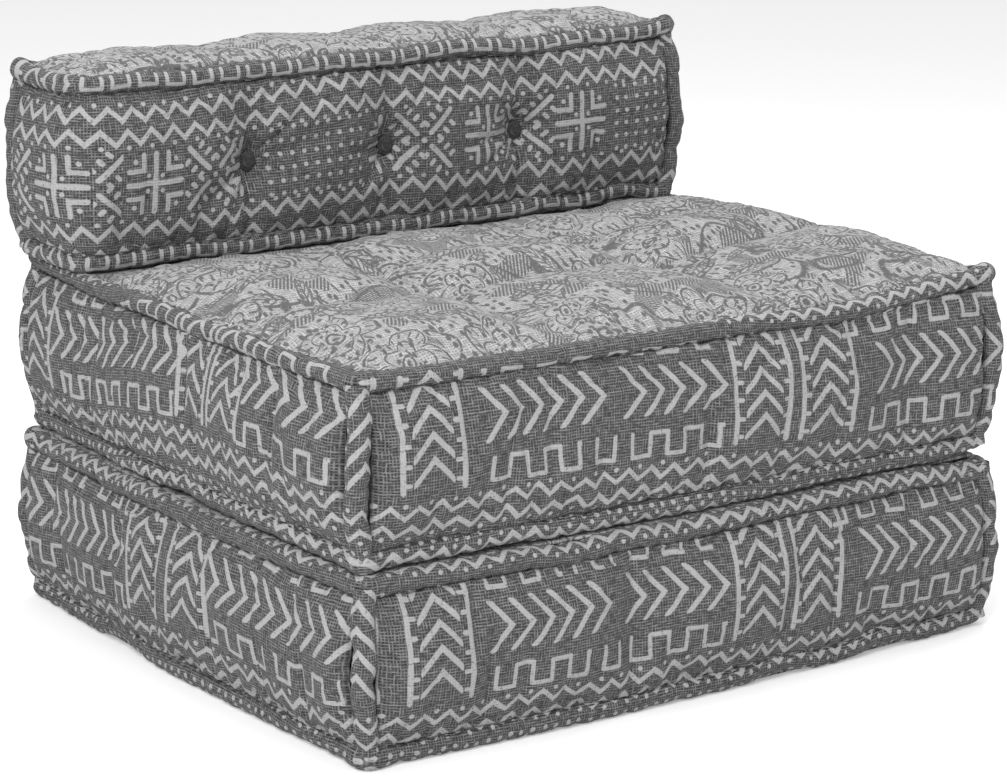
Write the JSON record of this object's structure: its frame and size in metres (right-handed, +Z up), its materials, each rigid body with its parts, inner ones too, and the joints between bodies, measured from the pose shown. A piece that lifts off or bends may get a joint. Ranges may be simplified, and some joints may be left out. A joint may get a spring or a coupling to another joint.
{
  "type": "modular floor sofa",
  "caption": "Low modular floor sofa of loose tufted mattress cushions with rolled edges: stacked seat cushions and a long back cushion along the rear edge.",
  "frame": {"origin": "centre of the floor footprint, on the floor", "axes": "+X along the length of the sofa to the sitter's left, +Y from the open front to the back cushion, +Z up"},
  "size_m": [0.7056, 0.6214, 0.5126],
  "materials": {
    "print_cloth": "coarse charcoal cotton with a pale zigzag, chevron and cross print",
    "panel_cloth": "light grey cotton with a darker floral print",
    "button_cloth": "plain dark grey cotton",
    "filling": "loose cotton stuffing",
    "twine": "waxed cotton twine"
  },
  "bodies": {
    "lower_cushion": {"lower_top_roll": "print_cloth", "lower_bottom_roll": "print_cloth", "lower_corner_rolls": "print_cloth", "lower_front_band": "print_cloth", "lower_right_band": "print_cloth", "lower_rear_band": "print_cloth", "lower_left_band": "print_cloth", "lower_top_panel": "panel_cloth", "lower_bottom_panel": "panel_cloth", "lower_filling": "filling", "lower_top_buttons": "button_cloth", "lower_bottom_buttons": "button_cloth", "lower_tuft_twine": "twine"},
    "upper_cushion": {"upper_top_roll": "print_cloth", "upper_bottom_roll": "print_cloth", "upper_corner_rolls": "print_cloth", "upper_front_band": "print_cloth", "upper_right_band": "print_cloth", "upper_rear_band": "print_cloth", "upper_left_band": "print_cloth", "upper_top_panel": "panel_cloth", "upper_bottom_panel": "panel_cloth", "upper_filling": "filling", "upper_top_buttons": "button_cloth", "upper_bottom_buttons": "button_cloth", "upper_tuft_twine": "twine"},
    "back_cushion": {"back_top_roll": "print_cloth", "back_bottom_roll": "print_cloth", "back_corner_rolls": "print_cloth", "back_front_and_left_band": "print_cloth", "back_rear_and_right_band": "print_cloth", "back_top_panel": "panel_cloth", "back_bottom_panel": "panel_cloth", "back_filling": "filling", "back_front_buttons": "button_cloth", "back_rear_buttons": "button_cloth", "back_tuft_twine": "twine"}
  },
  "joints": [
    {"name": "upper_cushion_lift", "type": "slide", "parent": "lower_cushion", "child": "upper_cushion", "axis": [0, 0, 1], "range_m": [0, 0.25]},
    {"name": "back_cushion_lift", "type": "slide", "parent": "upper_cushion", "child": "back_cushion", "axis": [0, 0, 1], "range_m": [0, 0.25]}
  ]
}
